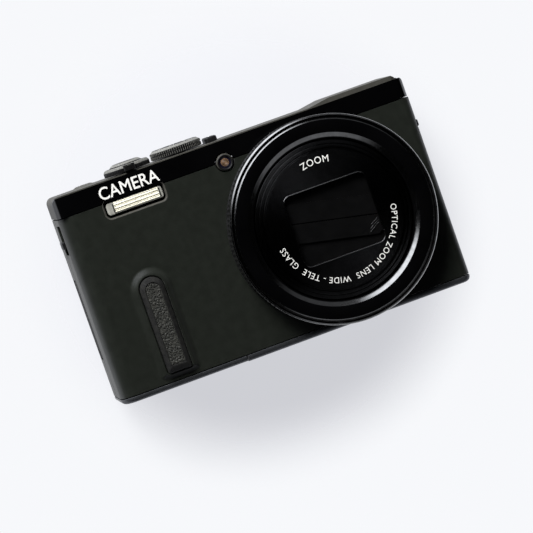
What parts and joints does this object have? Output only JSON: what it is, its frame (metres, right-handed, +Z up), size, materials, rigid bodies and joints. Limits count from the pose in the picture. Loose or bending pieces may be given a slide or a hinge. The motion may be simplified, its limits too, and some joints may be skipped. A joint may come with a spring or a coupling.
{
  "type": "compact digital camera",
  "caption": "Slim travel-zoom camera with a retracting lens behind barrier blades, a lens control ring, mode dial, zoom lever, eye-level viewfinder, rear screen and hinged battery door.",
  "frame": {"origin": "centre of the object's bounding box on the plane that the base stands on", "axes": "+X to the right seen from the front, +Y towards the back (the lens faces -Y), +Z up"},
  "size_m": [0.1106, 0.0344, 0.0665],
  "materials": {
    "matte_black": "fine matte texture",
    "top_grey": "dark grey fine texture",
    "gloss_black": "polished black",
    "satin_black": "satin black anodised",
    "grip_rubber": "leather-textured rubber",
    "black_rubber": "soft matte rubber",
    "clear_window": "clear ribbed window",
    "lens_glass": "coated optical glass",
    "amber_lamp": "translucent amber",
    "steel": "satin steel",
    "reflector": "bright metallised",
    "screen_glass": "polished dark cover glass",
    "circuit_board": "green solder mask",
    "chip_black": "moulded black",
    "cell_wrap": "dark grey sleeve",
    "card_blue": "smooth blue",
    "white_print": "printed white marking"
  },
  "bodies": {
    "root": {"front_cover": "matte_black", "rear_cover": "matte_black", "top_cover": "top_grey", "front_trim_band": "gloss_black", "bottom_cover": "matte_black", "base_screw_1": "steel", "base_screw_2": "steel", "tripod_socket": "steel", "grip_insert": "grip_rubber", "flash_window": "clear_window", "flash_reflector": "reflector", "af_lamp_window": "amber_lamp", "lens_bezel": "gloss_black", "lens_housing": "chip_black", "strap_lug": "steel", "usb_socket": "steel", "hdmi_socket": "steel", "lcd_glass": "screen_glass", "thumb_rest": "black_rubber", "eyepiece_frame": "black_rubber", "viewfinder_module": "chip_black", "eyepiece_lens": "lens_glass", "battery": "cell_wrap", "battery_box": "chip_black", "memory_card": "card_blue", "flash_capacitor": "chip_black", "zoom_motor": "steel", "image_sensor": "chip_black", "sensor_board": "circuit_board", "main_board": "circuit_board", "image_processor": "chip_black", "chassis_plate": "steel", "lcd_panel": "chip_black"},
    "battery_door": {"battery_door": "matte_black"},
    "door_latch": {"door_latch": "top_grey"},
    "terminal_door": {"terminal_door": "black_rubber"},
    "control_ring": {"control_ring": "satin_black"},
    "barrel_outer": {"barrel_outer": "satin_black"},
    "barrel_middle": {"barrel_middle": "satin_black", "zoom_lens_group": "lens_glass"},
    "barrel_front": {"barrel_front": "satin_black", "front_plate": "satin_black", "front_lens": "lens_glass"},
    "blade_upper_inner": {"blade_upper_inner": "satin_black"},
    "blade_upper_outer": {"blade_upper_outer": "satin_black"},
    "blade_lower_inner": {"blade_lower_inner": "satin_black"},
    "blade_lower_outer": {"blade_lower_outer": "satin_black"},
    "focus_group": {"focus_lens_group": "lens_glass"},
    "zoom_lever": {"zoom_lever": "satin_black"},
    "shutter_button": {"shutter_button": "gloss_black"},
    "power_button": {"power_button": "top_grey"},
    "movie_button": {"movie_button": "top_grey"},
    "mode_dial": {"mode_dial": "satin_black"},
    "diopter_dial": {"diopter_dial": "satin_black"},
    "cursor_ring": {"cursor_ring": "satin_black"},
    "set_button": {"set_button": "gloss_black"},
    "playback_button": {"playback_button": "satin_black"},
    "viewfinder_button": {"viewfinder_button": "satin_black"},
    "quick_menu_button": {"quick_menu_button": "satin_black"},
    "display_button": {"display_button": "satin_black"}
  },
  "joints": [
    {"name": "barrel_extend", "type": "slide", "parent": "root", "child": "barrel_outer", "axis": [0, -1, 0], "range_m": [0, 0.014]},
    {"name": "middle_barrel_extend", "type": "slide", "parent": "barrel_outer", "child": "barrel_middle", "axis": [0, -1, 0], "range_m": [0, 0.014]},
    {"name": "front_barrel_extend", "type": "slide", "parent": "barrel_middle", "child": "barrel_front", "axis": [0, -1, 0], "range_m": [0, 0.012]},
    {"name": "blade_turn_upper_inner", "type": "hinge", "parent": "barrel_front", "child": "blade_upper_inner", "pos_m": [0.0038, -0.0155, 0.0309], "axis": [0, -1, 0], "range_deg": [0, 33]},
    {"name": "blade_turn_upper_outer", "type": "hinge", "parent": "barrel_front", "child": "blade_upper_outer", "pos_m": [0.0038, -0.0149, 0.0309], "axis": [0, -1, 0], "range_deg": [0, 13]},
    {"name": "blade_turn_lower_inner", "type": "hinge", "parent": "barrel_front", "child": "blade_lower_inner", "pos_m": [0.0368, -0.0155, 0.0309], "axis": [0, -1, 0], "range_deg": [0, 33]},
    {"name": "blade_turn_lower_outer", "type": "hinge", "parent": "barrel_front", "child": "blade_lower_outer", "pos_m": [0.0368, -0.0149, 0.0309], "axis": [0, -1, 0], "range_deg": [0, 13]},
    {"name": "focus_travel", "type": "slide", "parent": "root", "child": "focus_group", "axis": [0, 1, 0], "range_m": [-0.0015, 0.0015]},
    {"name": "battery_door_open", "type": "hinge", "parent": "root", "child": "battery_door", "pos_m": [-0.0161, 0.0025, 0.0002], "axis": [0, -1, 0], "range_deg": [0, 95]},
    {"name": "door_latch_slide", "type": "slide", "parent": "battery_door", "child": "door_latch", "axis": [0, 1, 0], "range_m": [0, 0.003]},
    {"name": "cover_door_open", "type": "hinge", "parent": "root", "child": "terminal_door", "pos_m": [-0.0544, 0.0046, 0.026], "axis": [0, 0, 1], "range_deg": [0, 100]},
    {"name": "control_ring_turn", "type": "hinge", "parent": "root", "child": "control_ring", "pos_m": [0.0203, -0.0137, 0.0309], "axis": [0, -1, 0], "continuous": true},
    {"name": "lever_zoom_turn", "type": "hinge", "parent": "root", "child": "zoom_lever", "pos_m": [-0.0299, -0.0015, 0.0646], "axis": [0, 0, 1], "range_deg": [-20, 20], "stiffness_Nm_per_rad": 0.02},
    {"name": "mode_dial_turn", "type": "hinge", "parent": "root", "child": "mode_dial", "pos_m": [-0.014, 0.0035, 0.065], "axis": [0, 0, 1], "continuous": true},
    {"name": "diopter_dial_turn", "type": "hinge", "parent": "root", "child": "diopter_dial", "pos_m": [0.0523, -0.005, 0.0487], "axis": [0, 0, 1], "range_deg": [-120, 120]},
    {"name": "press_shutter", "type": "slide", "parent": "root", "child": "shutter_button", "axis": [0, 0, -1], "range_m": [0, 0.0005], "stiffness_N_per_m": 150},
    {"name": "press_power", "type": "slide", "parent": "root", "child": "power_button", "axis": [0, 0, -1], "range_m": [0, 0.0004], "stiffness_N_per_m": 150},
    {"name": "press_movie", "type": "slide", "parent": "root", "child": "movie_button", "axis": [0, 0, -1], "range_m": [0, 0.0003], "stiffness_N_per_m": 150},
    {"name": "press_set", "type": "slide", "parent": "root", "child": "set_button", "axis": [0, -1, 0], "range_m": [0, 0.0003], "stiffness_N_per_m": 150},
    {"name": "press_playback", "type": "slide", "parent": "root", "child": "playback_button", "axis": [0, -1, 0], "range_m": [0, 0.0003], "stiffness_N_per_m": 150},
    {"name": "press_viewfinder", "type": "slide", "parent": "root", "child": "viewfinder_button", "axis": [0, -1, 0], "range_m": [0, 0.0003], "stiffness_N_per_m": 150},
    {"name": "press_quick_menu", "type": "slide", "parent": "root", "child": "quick_menu_button", "axis": [0, -1, 0], "range_m": [0, 0.0003], "stiffness_N_per_m": 150},
    {"name": "press_display", "type": "slide", "parent": "root", "child": "display_button", "axis": [0, -1, 0], "range_m": [0, 0.0003], "stiffness_N_per_m": 150},
    {"name": "rock_cursor_ring", "type": "hinge", "parent": "root", "child": "cursor_ring", "pos_m": [-0.0355, 0.0143, 0.0245], "axis": [1, 0, 0], "range_deg": [-3, 3], "stiffness_Nm_per_rad": 0.05}
  ],
  "couplings": [
    {"joint": "middle_barrel_extend", "follows": "barrel_extend", "ratio": 1},
    {"joint": "front_barrel_extend", "follows": "barrel_extend", "ratio": 0.857},
    {"joint": "blade_turn_upper_inner", "follows": "barrel_extend", "rad_per_m": 41},
    {"joint": "blade_turn_upper_outer", "follows": "barrel_extend", "rad_per_m": 16},
    {"joint": "blade_turn_lower_inner", "follows": "barrel_extend", "rad_per_m": 41},
    {"joint": "blade_turn_lower_outer", "follows": "barrel_extend", "rad_per_m": 16}
  ]
}
